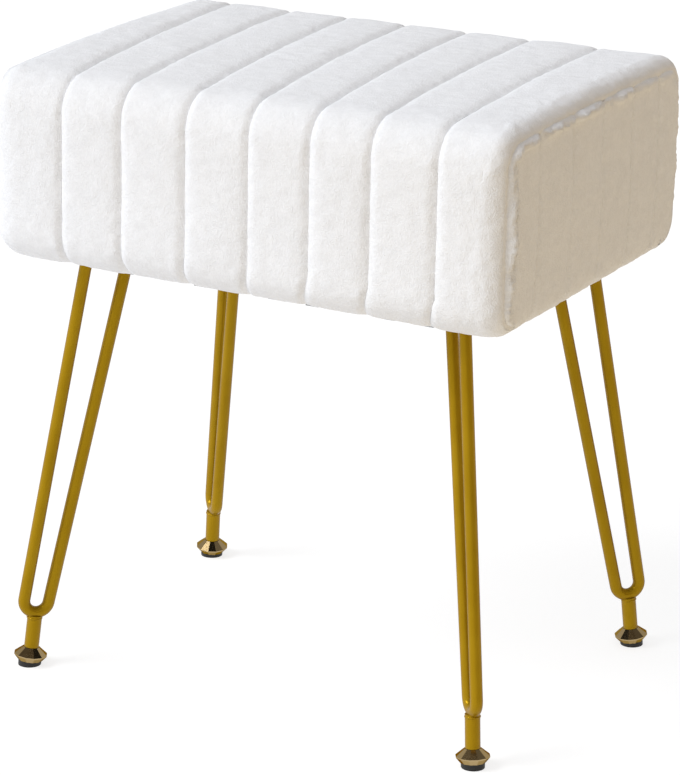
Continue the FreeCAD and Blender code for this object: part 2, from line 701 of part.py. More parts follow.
def make_flange(leg, leaning):
    """The faceted flange that is turned by hand to level the stool."""
    rings = [
        (FLANGE_BOTTOM, "Sizes.flange_bottom_diameter"),
        ("(Sizes.flange_rim_height - Sizes.flange_rim / 2)", "Sizes.flange_diameter"),
        ("(Sizes.flange_rim_height + Sizes.flange_rim / 2)", "Sizes.flange_diameter"),
        ("Sizes.flange_top_height", "Sizes.flange_top_diameter"),
    ]
    polygons = []
    for index, (level, diameter) in enumerate(rings, start=1):
        polygon = doc.addObject("Part::RegularPolygon", f"{leg}_FlangeRing{index}")
        bind(polygon, Polygon="Sizes.flange_sides", Circumradius=f"{diameter} / 2")
        polygon.setExpression(".Placement.Base.z", level)
        polygons.append(polygon)
    blank = doc.addObject("Part::Loft", f"{leg}_FlangeBlank")
    blank.Sections = polygons
    blank.Solid = True
    blank.Ruled = True
    bore = doc.addObject("Part::Cylinder", f"{leg}_FlangeBore")
    bind(bore, Radius="Sizes.stud_diameter / 2", Height="Sizes.flange_diameter")
    recess = doc.addObject("Part::Cylinder", f"{leg}_FlangeRecess")
    bind(recess, Radius="Sizes.pin_diameter / 2 + Sizes.stud_gap")
    bind(recess, Height=f"{FLANGE_BOTTOM} + Sizes.pin_height")
    cutter = doc.addObject("Part::Fuse", f"{leg}_FlangeCutter")
    cutter.Base = bore
    cutter.Tool = recess
    flange = doc.addObject("Part::Cut", f"{leg}_FlangeCut")
    flange.Base = blank
    flange.Tool = cutter
    bind(flange, Placement=leaning)
    return keep(flange, f"{leg}_flange")


def make_pad(leg, sign_x, sign_y, leaning):
    """The rubber pad, level underneath, with the pin that the flange turns on."""
    sunk = "Sizes.pad_height"
    disc = doc.addObject("Part::Cone", f"{leg}_PadDisc")
    bind(disc, Radius1="Sizes.pad_diameter / 2 - Sizes.pad_taper", Radius2="Sizes.pad_diameter / 2")
    bind(disc, Height=f"{PAD_TOP} + {sunk}")
    disc.setExpression(".Placement.Base.z", f"-{sunk}")
    pivot = doc.addObject("Part::Cylinder", f"{leg}_PadPin")
    bind(pivot, Radius="Sizes.pin_diameter / 2", Height=f"{PAD_TOP} + Sizes.pin_height")
    blank = doc.addObject("Part::Fuse", f"{leg}_PadBlank")
    blank.Base = disc
    blank.Tool = pivot
    bind(blank, Placement=leaning)
    floor = doc.addObject("Part::Box", f"{leg}_FloorBlock")
    bind(floor, Length="2 * Sizes.pad_diameter", Width="2 * Sizes.pad_diameter", Height="Sizes.pad_diameter")
    corner_x = f"{sign_x} * {FOOT_X} - Sizes.pad_diameter"
    corner_y = f"{sign_y} * {FOOT_Y} - Sizes.pad_diameter"
    bind(floor, Placement=at(corner_x, corner_y, "-Sizes.pad_diameter"))
    rubber = doc.addObject("Part::Cut", f"{leg}_PadCut")
    rubber.Base = blank
    rubber.Tool = floor
    return keep(rubber, f"{leg}_pad")


make_cover_wrap()
make_end_panel("RightEndPanel", "right_end_panel", "0")
make_end_panel("LeftEndPanel", "left_end_panel", "180")
make_foam_block()
make_seat_board()
make_dust_cover()
group("staples", make_staple(), staple_places())

bolt_master = make_bolt()
nut_master = make_nut()
for leg_name, corner_x, corner_y, plane_turn in LEGS:
    upright = leg_place(corner_x, corner_y, plane_turn)
    leaned = leg_place(corner_x, corner_y, plane_turn, "-Sizes.foot_lean")
    make_plate(leg_name, corner_x, corner_y)
    leg_rod = make_rod(leg_name, upright)
    make_stub(leg_name, leaned, leg_rod)
    make_stud(leg_name, leaned)
    make_flange(leg_name, leaned)
    make_pad(leg_name, corner_x, corner_y, leaned)
    spots = bolt_spots(corner_x, corner_y)
    group(f"{leg_name}_bolts", bolt_master, [at(x, y, PLATE_BOTTOM) for x, y in spots])
    group(f"{leg_name}_tee_nuts", nut_master, [at(x, y, BOARD_TOP) for x, y in spots])

doc.recompute()

for item in doc.Objects:
    if "Invalid" in item.State or "Error" in item.State:
        raise RuntimeError(f"{item.Label} did not rebuild: {item.State}")

os.makedirs("parts", exist_ok=True)
for piece in finished:
    shape = piece.Shape
    if shape.isNull() or not shape.isValid() or not shape.Solids:
        raise RuntimeError(f"{piece.Label} has no valid shape")
    shape.exportStep(f"parts/{piece.Label}.step")
    box = shape.BoundBox
    print(
        f"{piece.Label}: {len(shape.Solids)} solids, {shape.Volume / 1000:.2f} cm3, "
        f"x {box.XMin:.1f} to {box.XMax:.1f}, y {box.YMin:.1f} to {box.YMax:.1f}, "
        f"z {box.ZMin:.1f} to {box.ZMax:.1f}"
    )
print(f"{len(finished)} nodes")
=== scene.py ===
# %% [markdown]
# A vanity stool in white plush, on gold hairpin legs with screw-in feet.
# The frame holds every piece at its real size and place. This lesson gives each piece its looks:
# it sews and fills the seat cover, beads the welds, and makes each finish from its real surface.

# %% Load the frame
import math

import bmesh
import bpy
import numpy as np
from mathutils import Matrix, Vector, noise


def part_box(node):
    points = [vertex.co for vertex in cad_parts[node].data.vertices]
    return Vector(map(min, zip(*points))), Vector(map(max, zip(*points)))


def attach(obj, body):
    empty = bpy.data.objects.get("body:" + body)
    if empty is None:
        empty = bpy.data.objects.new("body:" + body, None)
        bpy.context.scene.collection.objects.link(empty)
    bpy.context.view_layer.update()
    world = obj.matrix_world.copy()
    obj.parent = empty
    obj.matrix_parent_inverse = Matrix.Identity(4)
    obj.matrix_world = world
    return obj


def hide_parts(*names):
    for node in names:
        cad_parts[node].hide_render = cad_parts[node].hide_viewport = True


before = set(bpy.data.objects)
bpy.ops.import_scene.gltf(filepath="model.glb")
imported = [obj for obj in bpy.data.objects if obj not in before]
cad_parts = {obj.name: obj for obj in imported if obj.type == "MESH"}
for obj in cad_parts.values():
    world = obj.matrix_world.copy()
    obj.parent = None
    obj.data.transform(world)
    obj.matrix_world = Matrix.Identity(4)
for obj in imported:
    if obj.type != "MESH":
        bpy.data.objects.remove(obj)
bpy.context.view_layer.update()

MM = 0.001
LEGS = {"front_left": (-1, -1), "front_right": (1, -1), "back_left": (-1, 1), "back_right": (1, 1)}

# %% [markdown]
# The camera stands where the photographer stood: off to the sitter's right, a little above the seat
# and some way back, with a long lens that keeps the legs nearly parallel. The roll is the small
# tilt that the picture has.

# %% Camera
CAMERA_TARGET = Vector((3.73, -4.51, 212.09)) * MM
CAMERA_DISTANCE = 2.84574
CAMERA_AZIMUTH = math.radians(28.23)
CAMERA_ELEVATION = math.radians(18.26)
CAMERA_ROLL = math.radians(1.05)
CAMERA_LENS = 180.5

forward = Vector((
    -math.sin(CAMERA_AZIMUTH) * math.cos(CAMERA_ELEVATION),
    math.cos(CAMERA_AZIMUTH) * math.cos(CAMERA_ELEVATION),
    -math.sin(CAMERA_ELEVATION),
))
level_right = Vector((math.cos(CAMERA_AZIMUTH), math.sin(CAMERA_AZIMUTH), 0))
level_up = level_right.cross(forward)
camera_right = level_right * math.cos(CAMERA_ROLL) + level_up * math.sin(CAMERA_ROLL)
camera_up = level_up * math.cos(CAMERA_ROLL) - level_right * math.sin(CAMERA_ROLL)
bpy.ops.object.select_all(action="DESELECT")
bpy.ops.object.camera_add()
camera = bpy.context.object
camera.data.lens = CAMERA_LENS
turn = Matrix((camera_right, camera_up, -forward)).transposed().to_4x4()
camera.matrix_world = Matrix.Translation(CAMERA_TARGET - forward * CAMERA_DISTANCE) @ turn
bpy.context.scene.camera = camera
print("camera at", [round(value, 3) for value in camera.matrix_world.translation])

# %% [markdown]
# Two helpers serve every finish. One turns an sRGB hex colour, as read off a screen, into the linear
# light that the renderer works in. The other adds a node, sets its properties and fills its sockets
# with values or with links.

# %% Colour and node helpers
def linear(hex_colour):
    """An sRGB hex colour as linear red, green, blue and alpha."""
    shares = [int(hex_colour[place:place + 2], 16) / 255 for place in (1, 3, 5)]
    return (*[s / 12.92 if s <= 0.04045 else ((s + 0.055) / 1.055) ** 2.4 for s in shares], 1)


def add_node(tree, kind, inputs=None, **properties):
    """Add a node, set its properties, and give its sockets values or links."""
    node = tree.nodes.new(kind)
    for name, value in properties.items():
        setattr(node, name, value)
    for socket, value in (inputs or {}).items():
        if isinstance(value, bpy.types.NodeSocket):
            tree.links.new(value, node.inputs[socket])
        else:
            node.inputs[socket].default_value = value
    return node


def new_material(name):
    """An empty material, its node tree and its output node."""
    material = bpy.data.materials.new(name)
    material.use_nodes = True
    material.node_tree.nodes.clear()
    return material, material.node_tree, material.node_tree.nodes.new("ShaderNodeOutputMaterial")


print("white is", linear("#FFFFFF"))

# %% [markdown]
# The studio has white walls, a dimmer ceiling and a pale floor. Polished metal needs that ceiling:
# facets that tilt up reflect it and turn dark, as they do in a real studio. The walls are seen and
# reflected at full white, and a dull flag on the right keeps one side of the metal dark. Cloth is
# lit by a weaker glow, cool from the window side on the left and dim and amber from the lamp side
# on the right.

# %% World
WALL_COLOUR = linear("#FFFFFF")
CEILING_COLOUR = linear("#5A544C")
FLAG_COLOUR = linear("#7C6E58")
WINDOW_GLOW = linear("#F5F7FC")
LAMP_GLOW = linear("#9C7838")
GLOW_STRENGTH = 0.58
WALL_TOP = 0.25
CEILING_START = 0.9
LAMP_LOWER = -0.8
LAMP_FROM = 0.05
LAMP_TO = 0.6

world = bpy.data.worlds.new("studio")
world.use_nodes = True
bpy.context.scene.world = world
tree = world.node_tree
tree.nodes.clear()
direction = add_node(tree, "ShaderNodeTexCoord")
height = add_node(tree, "ShaderNodeSeparateXYZ", {0: direction.outputs["Generated"]})
dome = add_node(tree, "ShaderNodeMapRange", {
    "Value": height.outputs["Z"], "From Min": WALL_TOP, "From Max": CEILING_START,
})
sunk = add_node(tree, "ShaderNodeMath", {
    0: height.outputs["Z"], 1: LAMP_LOWER, 2: height.outputs["X"],
}, operation="MULTIPLY_ADD")
towards_lamp = add_node(tree, "ShaderNodeMapRange", {
    "Value": sunk.outputs[0], "From Min": LAMP_FROM, "From Max": LAMP_TO,
})
flagged_colour = add_node(tree, "ShaderNodeMix", {
    "Factor": towards_lamp.outputs[0], 6: WALL_COLOUR, 7: FLAG_COLOUR,
}, data_type="RGBA")
glow_colour = add_node(tree, "ShaderNodeMix", {
    "Factor": towards_lamp.outputs[0], 6: WINDOW_GLOW, 7: LAMP_GLOW,
}, data_type="RGBA")
seen_colour = add_node(tree, "ShaderNodeMix", {
    "Factor": dome.outputs[0], 6: flagged_colour.outputs[2], 7: CEILING_COLOUR,
}, data_type="RGBA")
seen = add_node(tree, "ShaderNodeBackground", {"Color": seen_colour.outputs[2], "Strength": 1.0})
glow = add_node(tree, "ShaderNodeBackground", {
    "Color": glow_colour.outputs[2], "Strength": GLOW_STRENGTH,
})
rays = add_node(tree, "ShaderNodeLightPath")
camera_or_gloss = add_node(tree, "ShaderNodeMath", {
    0: rays.outputs["Is Camera Ray"], 1: rays.outputs["Is Glossy Ray"],
}, operation="MAXIMUM")
seen_rays = add_node(tree, "ShaderNodeMath", {
    0: camera_or_gloss.outputs[0], 1: rays.outputs["Is Transmission Ray"],
}, operation="MAXIMUM")
studio = add_node(tree, "ShaderNodeMixShader", {
    0: seen_rays.outputs[0], 1: glow.outputs[0], 2: seen.outputs[0],
})
add_node(tree, "ShaderNodeOutputWorld", {"Surface": studio.outputs[0]})
print("world glow", GLOW_STRENGTH)

# %% [markdown]
# The floor is pale paper. The camera and the metal see it at full white, with the stool's soft
# shadow kept. Cloth gets its light back from it, white under the seat. Towards the lamp side the
# colour it gives back is painted amber: a painted pool of warm lamplight on the floor.

# %% Floor
FLOOR_SIZE = 14
FLOOR_SEEN = linear("#A0A0A0")
FLOOR_BOUNCE = linear("#DDDEE0")
# Painted lamplight: towards the lamp side, the colour that the floor bounces turns amber.
FLOOR_PAINTED_LAMPLIGHT = linear("#BFA56C")
PAINTED_LAMPLIGHT_FROM = 0.05
PAINTED_LAMPLIGHT_TO = 0.45
FLOOR_GLOW = 0.76
FLOOR_LIFT = 0.46

floor_finish, tree, output = new_material("floor_paper")
rays = add_node(tree, "ShaderNodeLightPath")
camera_or_gloss = add_node(tree, "ShaderNodeMath", {
    0: rays.outputs["Is Camera Ray"], 1: rays.outputs["Is Glossy Ray"],
}, operation="MAXIMUM")
seen_rays = add_node(tree, "ShaderNodeMath", {
    0: camera_or_gloss.outputs[0], 1: rays.outputs["Is Transmission Ray"],
}, operation="MAXIMUM")
place = add_node(tree, "ShaderNodeTexCoord")
across = add_node(tree, "ShaderNodeSeparateXYZ", {0: place.outputs["Object"]})
# Painted pool of lamplight: along X, the bounce colour shifts from white to amber.
painted_lamplight_share = add_node(tree, "ShaderNodeMapRange", {
    "Value": across.outputs["X"], "From Min": PAINTED_LAMPLIGHT_FROM, "From Max": PAINTED_LAMPLIGHT_TO,
})
bounce = add_node(tree, "ShaderNodeMix", {
    "Factor": painted_lamplight_share.outputs[0], 6: FLOOR_BOUNCE, 7: FLOOR_PAINTED_LAMPLIGHT,
}, data_type="RGBA")
paper = add_node(tree, "ShaderNodeMix", {
    "Factor": seen_rays.outputs[0], 6: bounce.outputs[2], 7: FLOOR_SEEN,
}, data_type="RGBA")
lift_colour = add_node(tree, "ShaderNodeMix", {
    "Factor": seen_rays.outputs[0], 6: FLOOR_BOUNCE, 7: WALL_COLOUR,
}, data_type="RGBA")
matt = add_node(tree, "ShaderNodeBsdfDiffuse", {"Color": paper.outputs[2]})
seen_glow = add_node(tree, "ShaderNodeMapRange", {
    "Value": seen_rays.outputs[0], "To Min": FLOOR_LIFT, "To Max": FLOOR_GLOW,
})
lit = add_node(tree, "ShaderNodeEmission", {
    "Color": lift_colour.outputs[2], "Strength": seen_glow.outputs[0],
})
both = add_node(tree, "ShaderNodeAddShader", {0: matt.outputs[0], 1: lit.outputs[0]})
tree.links.new(both.outputs[0], output.inputs["Surface"])

bpy.ops.object.select_all(action="DESELECT")
bpy.ops.mesh.primitive_plane_add(size=FLOOR_SIZE)
floor = bpy.context.object
floor.name = "floor"
floor.data.materials.append(floor_finish)
print("floor", FLOOR_SIZE, "m across")

# %% [markdown]
# Two soft lights stand for a window and a lamp: the key comes from the sitter's left, above and in
# front, and a faint warm fill comes from the right.

# %% Lights
KEY_FROM = Vector((-0.60, -0.58, 0.72))
KEY_STRENGTH = 1.78
KEY_SPREAD = math.radians(30)
FILL_FROM = Vector((0.95, -0.10, 0.25))
FILL_STRENGTH = 0.12
FILL_SPREAD = math.radians(60)
FILL_COLOUR = linear("#FFD898")


def add_sun(name, comes_from, strength, spread, colour=WALL_COLOUR):
    """A soft, even light that comes from one side."""
    bpy.ops.object.select_all(action="DESELECT")
    bpy.ops.object.light_add(type="SUN")
    sun = bpy.context.object
    sun.name = name
    sun.rotation_mode = "QUATERNION"
    sun.rotation_quaternion = comes_from.to_track_quat("Z", "Y")
    sun.data.energy = strength
    sun.data.angle = spread
    sun.data.color = colour[:3]
    return sun


add_sun("key_light", KEY_FROM, KEY_STRENGTH, KEY_SPREAD)
add_sun("fill_light", FILL_FROM, FILL_STRENGTH, FILL_SPREAD, FILL_COLOUR)
bpy.context.scene.view_settings.view_transform = "Standard"
print("key", KEY_STRENGTH, "fill", FILL_STRENGTH)

# %% [markdown]
# Short-pile polyester plush: fine fibres, cut to one height, stand off a knitted backing. They scatter
# light, so the cloth has no gloss, its edges glow a little where fibres are seen from the side, and
# the nap lies in patches of slightly different white. The single fibres are far too fine to show,
# so the pile is drawn as tufts of one to two and a half millimetres.

# %% Plush
PLUSH_WHITE = linear("#F7F8FA")
PLUSH_SHADE = linear("#F0F1F3")
PLUSH_ROUGHNESS = 0.95
PLUSH_SHEEN = 0.04
PLUSH_SHEEN_ROUGHNESS = 0.5
NAP_PATCH = 9 * MM
PILE_TUFT = 2.4 * MM
PILE_FIBRE = 1.0 * MM
PILE_HEIGHT = 1.2 * MM
PILE_STRENGTH = 0.38
LAY_LOW = 0.75
LAY_HIGH = 1.25


def make_plush():
    material, tree, output = new_material("white_polyester_plush")
    place = add_node(tree, "ShaderNodeTexCoord")
    nap = add_node(tree, "ShaderNodeTexNoise", {
        "Vector": place.outputs["Object"], "Scale": 1 / NAP_PATCH, "Detail": 3.0, "Roughness": 0.6,
    })
    tufts = add_node(tree, "ShaderNodeTexNoise", {
        "Vector": place.outputs["Object"], "Scale": 1 / PILE_TUFT, "Detail": 2.0, "Distortion": 0.6,
    })
    fibres = add_node(tree, "ShaderNodeTexNoise", {
        "Vector": place.outputs["Object"], "Scale": 1 / PILE_FIBRE, "Detail": 1.0,
    })
    mottle = add_node(tree, "ShaderNodeMath", {
        0: nap.outputs[0], 1: tufts.outputs[0],
    }, operation="ADD")
    lay = add_node(tree, "ShaderNodeMapRange", {
        "Value": mottle.outputs[0], "From Min": LAY_LOW, "From Max": LAY_HIGH,
    })
    colour = add_node(tree, "ShaderNodeMix", {
        "Factor": lay.outputs[0], 6: PLUSH_SHADE, 7: PLUSH_WHITE,
    }, data_type="RGBA")
    pile = add_node(tree, "ShaderNodeMath", {
        0: tufts.outputs[0], 1: fibres.outputs[0],
    }, operation="ADD")
    bump = add_node(tree, "ShaderNodeBump", {
        "Height": pile.outputs[0], "Distance": PILE_HEIGHT, "Strength": PILE_STRENGTH,
    })
    cloth = add_node(tree, "ShaderNodeBsdfPrincipled", {
        "Base Color": colour.outputs[2],
        "Roughness": PLUSH_ROUGHNESS,
        "Specular IOR Level": 0.1,
        "Sheen Weight": PLUSH_SHEEN,
        "Sheen Roughness": PLUSH_SHEEN_ROUGHNESS,
        "Normal": bump.outputs[0],
    })
    tree.links.new(cloth.outputs[0], output.inputs["Surface"])
    return material


plush = make_plush()
print("plush tufts", PILE_TUFT / MM, "mm")

# %% [markdown]
# The legs are mild steel rod with a gold powder coat: metal flake in a baked film. The flake gives
# it a metal's coloured reflection, and the film's orange peel spreads that into a satin. At the
# rod's edges, seen at a slant, the reflection is tinted dark brown: painted shade, standing in for
# the dark surroundings that the edges mirror.

# %% Gold powder coat
COAT_GOLD = linear("#B3901C")
COAT_DEEP = linear("#9C790F")
# Painted shade: this dark brown tints the reflection at the rod's slanting edges, so they stay dark.
COAT_PAINTED_EDGE_SHADE = linear("#5A4310")
COAT_METALLIC = 0.28
COAT_ROUGHNESS = 0.26
COAT_PATCH = 30 * MM
ORANGE_PEEL = 1.4 * MM
ORANGE_PEEL_HEIGHT = 0.02 * MM


def make_gold_coat():
    material, tree, output = new_material("gold_powder_coat")
    place = add_node(tree, "ShaderNodeTexCoord")
    patches = add_node(tree, "ShaderNodeTexNoise", {
        "Vector": place.outputs["Object"], "Scale": 1 / COAT_PATCH, "Detail": 2.0,
    })
    colour = add_node(tree, "ShaderNodeMix", {
        "Factor": patches.outputs[0], 6: COAT_DEEP, 7: COAT_GOLD,
    }, data_type="RGBA")
    peel = add_node(tree, "ShaderNodeTexNoise", {
        "Vector": place.outputs["Object"], "Scale": 1 / ORANGE_PEEL, "Detail": 1.0,
    })
    bump = add_node(tree, "ShaderNodeBump", {
        "Height": peel.outputs[0], "Distance": ORANGE_PEEL_HEIGHT, "Strength": 1.0,
    })
    coat = add_node(tree, "ShaderNodeBsdfPrincipled", {
        "Base Color": colour.outputs[2],
        "Metallic": COAT_METALLIC,
        "Roughness": COAT_ROUGHNESS,
        # Painted shade on the slanting edges, through the dark brown tint of the reflection.
        "Specular Tint": COAT_PAINTED_EDGE_SHADE,
        "Normal": bump.outputs[0],
    })
    tree.links.new(coat.outputs[0], output.inputs["Surface"])
    return material


gold_coat = make_gold_coat()
print("orange peel", ORANGE_PEEL / MM, "mm")

# %% [markdown]
# The foot's flange is turned and faceted steel with a champagne-coloured bright plate over it. It
# mirrors the studio: dark where a facet looks at the ceiling, cream where it looks at the floor.

# %% Bright champagne plate
PLATE_CHAMPAGNE = linear("#B29C74")
PLATE_EDGE = linear("#8C7340")
PLATE_ROUGHNESS_LOW = 0.08
PLATE_ROUGHNESS_HIGH = 0.2
PLATE_SMEAR = 5 * MM


def make_champagne_plate():
    material, tree, output = new_material("bright_champagne_plate")
    place = add_node(tree, "ShaderNodeTexCoord")
    smears = add_node(tree, "ShaderNodeTexNoise", {
        "Vector": place.outputs["Object"], "Scale": 1 / PLATE_SMEAR, "Detail": 3.0,
    })
    haze = add_node(tree, "ShaderNodeMapRange", {
        "Value": smears.outputs[0], "To Min": PLATE_ROUGHNESS_LOW, "To Max": PLATE_ROUGHNESS_HIGH,
    })
    metal = add_node(tree, "ShaderNodeBsdfPrincipled", {
        "Base Color": PLATE_CHAMPAGNE,
        "Metallic": 1.0,
        "Roughness": haze.outputs[0],
        "Specular Tint": PLATE_EDGE,
    })
    tree.links.new(metal.outputs[0], output.inputs["Surface"])
    return material


champagne_plate = make_champagne_plate()
print("smears", PLATE_SMEAR / MM, "mm")

# %% [markdown]
# The smaller pieces share a plain recipe: a base colour that a noise breaks up, and a bump at the
# scale of the surface. Rubber is matt and black, zinc is a cool satin metal with a crystalline
# spangle, black zinc is its dark twin, and staple wire is drawn steel.

# %% Rubber, zinc and wire
def make_speckled(name, colours, patch, bump_height, **sockets):
    """A finish of two close colours in patches of one real size, with a bump to match."""
    material, tree, output = new_material(name)
    place = add_node(tree, "ShaderNodeTexCoord")
    patches = add_node(tree, "ShaderNodeTexNoise", {
        "Vector": place.outputs["Object"], "Scale": 1 / patch, "Detail": 2.0,
    })
    colour = add_node(tree, "ShaderNodeMix", {
        "Factor": patches.outputs[0], 6: linear(colours[0]), 7: linear(colours[1]),
    }, data_type="RGBA")
    bump = add_node(tree, "ShaderNodeBump", {
        "Height": patches.outputs[0], "Distance": bump_height, "Strength": 1.0,
    })
    surface = add_node(tree, "ShaderNodeBsdfPrincipled", {
        "Base Color": colour.outputs[2], "Normal": bump.outputs[0],
    })
    for socket, value in sockets.items():
        surface.inputs[socket.replace("_", " ")].default_value = value
    tree.links.new(surface.outputs[0], output.inputs["Surface"])
    return material


rubber = make_speckled(
    "moulded_black_rubber", ("#101010", "#1C1B1A"), 1.5 * MM, 0.03 * MM, Roughness=0.6
)
bright_zinc = make_speckled(
    "bright_zinc", ("#A9ABAD", "#C6C8CA"), 3 * MM, 0.01 * MM, Metallic=1.0, Roughness=0.3
)
black_zinc = make_speckled(
    "black_zinc", ("#1B1B1D", "#29292C"), 2 * MM, 0.01 * MM, Metallic=1.0, Roughness=0.35
)
staple_wire = make_speckled(
    "drawn_steel_wire", ("#9A9B9C", "#BBBCBE"), 0.6 * MM, 0.01 * MM, Metallic=1.0, Roughness=0.35
)
foam_rubber = make_speckled(
    "open_cell_foam", ("#D9C98F", "#EADFB4"), 1.2 * MM, 0.5 * MM, Roughness=0.95
)
spunbond = make_speckled(
    "black_spunbond", ("#0C0C0D", "#1A1A1C"), 1.0 * MM, 0.15 * MM, Roughness=0.9
)
print("small finishes:", rubber.name, bright_zinc.name, black_zinc.name, staple_wire.name)

# %% [markdown]
# The seat board is plywood. Its faces show long grain and its edges show the plies, so the colour
# comes from a noise stretched along the board, mixed with bands as thick as a ply.

# %% Plywood
PLY_LIGHT = linear("#C9A676")
PLY_DARK = linear("#9C7448")
PLY_THICKNESS = 1.5 * MM
GRAIN_WIDTH = 3 * MM
GRAIN_STRETCH = 0.06
PLY_ROUGHNESS = 0.6


def make_plywood():
    material, tree, output = new_material("birch_plywood")
    place = add_node(tree, "ShaderNodeTexCoord")
    along = add_node(tree, "ShaderNodeMapping", {
        "Vector": place.outputs["Object"], "Scale": (GRAIN_STRETCH, 1.0, 1.0),
    })
    grain = add_node(tree, "ShaderNodeTexNoise", {
        "Vector": along.outputs[0], "Scale": 1 / GRAIN_WIDTH, "Detail": 4.0,
    })
    level = add_node(tree, "ShaderNodeSeparateXYZ", {0: place.outputs["Object"]})
    plies = add_node(tree, "ShaderNodeMath", {
        0: level.outputs["Z"], 1: 2 * PLY_THICKNESS,
    }, operation="PINGPONG")
    band = add_node(tree, "ShaderNodeMath", {
        0: plies.outputs[0], 1: PLY_THICKNESS,
    }, operation="GREATER_THAN")
    mix = add_node(tree, "ShaderNodeMath", {
        0: grain.outputs[0], 1: band.outputs[0],
    }, operation="MULTIPLY")
    colour = add_node(tree, "ShaderNodeMix", {
        "Factor": mix.outputs[0], 6: PLY_LIGHT, 7: PLY_DARK,
    }, data_type="RGBA")
    wood = add_node(tree, "ShaderNodeBsdfPrincipled", {
        "Base Color": colour.outputs[2], "Roughness": PLY_ROUGHNESS,
    })
    tree.links.new(wood.outputs[0], output.inputs["Surface"])
    return material


plywood = make_plywood()
print("plies", PLY_THICKNESS / MM, "mm")

# %% [markdown]
# The rigid pieces keep their own shapes, so all they need is a finish each.

# %% Finishes of the rigid pieces
FINISHES = {
    "plate": gold_coat, "rod": gold_coat, "stub": gold_coat, "bolts": black_zinc,
    "tee_nuts": bright_zinc, "stud": bright_zinc, "flange": champagne_plate, "pad": rubber,
}
finish_of = {f"{leg}_{part}": finish for leg in LEGS for part, finish in FINISHES.items()}
finish_of["seat_board"] = plywood
finish_of["staples"] = staple_wire
for node, finish in finish_of.items():
    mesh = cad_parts[node].data
    mesh.materials.clear()
    mesh.materials.append(finish)
print("finished", len(finish_of), "rigid pieces")

# %% [markdown]
# The seat's outline, seen from its end, is one shallow crown between two round edges, two upright
# sides, and a round edge under each. A strip of quilted plush runs along it, from its stapled flap
# at the front, over the top, to its flap at the back. The outline is sampled once, as places and
# outward directions by the distance along it.

# %% Seat outline
wrap_low, wrap_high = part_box("cover_wrap")
panel_low, panel_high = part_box("right_end_panel")
SIDE = wrap_high.y
UNDERSIDE = panel_low.z
TOP = wrap_high.z
TOP_EDGE = 28 * MM
LOW_EDGE = 25 * MM
CROWN = 3000 * MM
FLAP = 4 * MM
OUTLINE_STEP = 0.5 * MM
FEWEST_STEPS = 4


def outline_half(inset):
    """Places and outward directions, from the middle of the top down to the flap, on the +Y side."""
    crown_centre = TOP - CROWN
    edge_y = SIDE - TOP_EDGE
    low_y = SIDE - LOW_EDGE
    rise = math.sqrt((CROWN - TOP_EDGE) ** 2 - edge_y ** 2)
    edge_z = crown_centre + rise
    steep = math.atan2(rise, edge_y)
    arcs = [
        (0, crown_centre, CROWN, math.pi / 2, steep),
        (edge_y, edge_z, TOP_EDGE, steep, 0),
        (low_y, UNDERSIDE + LOW_EDGE, LOW_EDGE, 0, -math.pi / 2),
    ]
    places, outward = [], []
    for centre_y, centre_z, radius, first, last in arcs:
        count = max(FEWEST_STEPS, int(abs(first - last) * radius / OUTLINE_STEP))
        for angle in np.linspace(first, last, count):
            ray = np.array((math.cos(angle), math.sin(angle)))
            places.append(np.array((centre_y, centre_z)) + (radius - inset) * ray)
            outward.append(ray)
    places.append(np.array((low_y - FLAP, UNDERSIDE + inset)))
    outward.append(np.array((0.0, -1.0)))
    return np.array(places), np.array(outward)


half_places, half_outward = outline_half(0)
mirror_y = np.array((-1, 1))
outline = np.vstack((half_places[::-1] * mirror_y, half_places[1:]))
outward = np.vstack((half_outward[::-1] * mirror_y, half_outward[1:]))
run = np.concatenate(((0,), np.cumsum(np.linalg.norm(np.diff(outline, axis=0), axis=1))))
print("outline", round(run[-1] / MM), "mm long")

# %% [markdown]
# Seven seams part the strip into eight channels. They aren't evenly spaced: hand-fed plush creeps
# under the needle, and across the top the seams run ten to twenty millimetres askew. Each channel is
# a flat cushion with full shoulders, and each end of the strip rolls over the corner of the foam.
# Near the flaps the valleys fade, because the staples pull the strip flat there.

# %% Channels of the cover
CHANNELS = 8
FRONT_LOW_SEAMS = np.array((-147, -98, -51, -3, 41, 88, 138)) * MM
FRONT_SEAMS = np.array((-146, -97, -45, 5, 53, 100, 151)) * MM
BACK_SEAMS = np.array((-168, -116, -67, -18, 33, 85, 140)) * MM
SEAM_DEPTH = 2.4 * MM
SEAM_REACH = 6 * MM
PILLOW = 0.4 * MM
SLACK = 0.8 * MM
FIRST_FACE = 45 * MM
TOP_START = 177 * MM
SIDE_ROLL = (18 * MM, math.radians(48))
TOP_ROLL = (12 * MM, math.radians(64))
CURL_RADIUS = 4.5 * MM
CURL_ANGLE = math.radians(125)
TOP_TILT = 3 * MM
NOTCH_FROM = 6 * MM
NOTCH_FULL = 20 * MM
FULLER_LEFT = 2.8 * MM
SLIMMER_RIGHT = 1.0 * MM
FULLER_FROM = 0.88
SEWN_FROM = 0.8
AT_SEAM = 0.999


def seam_places(distance):
    """Where the seven seams cross the seat, at each distance along the outline."""
    stations = (0, FIRST_FACE, TOP_START, run[-1] - TOP_START, run[-1])
    stops = np.array((FRONT_LOW_SEAMS, FRONT_SEAMS, FRONT_SEAMS, BACK_SEAMS, BACK_SEAMS))
    places = [np.interp(distance, stations, stops[:, seam]) for seam in range(CHANNELS - 1)]
    return np.stack(places, axis=1)


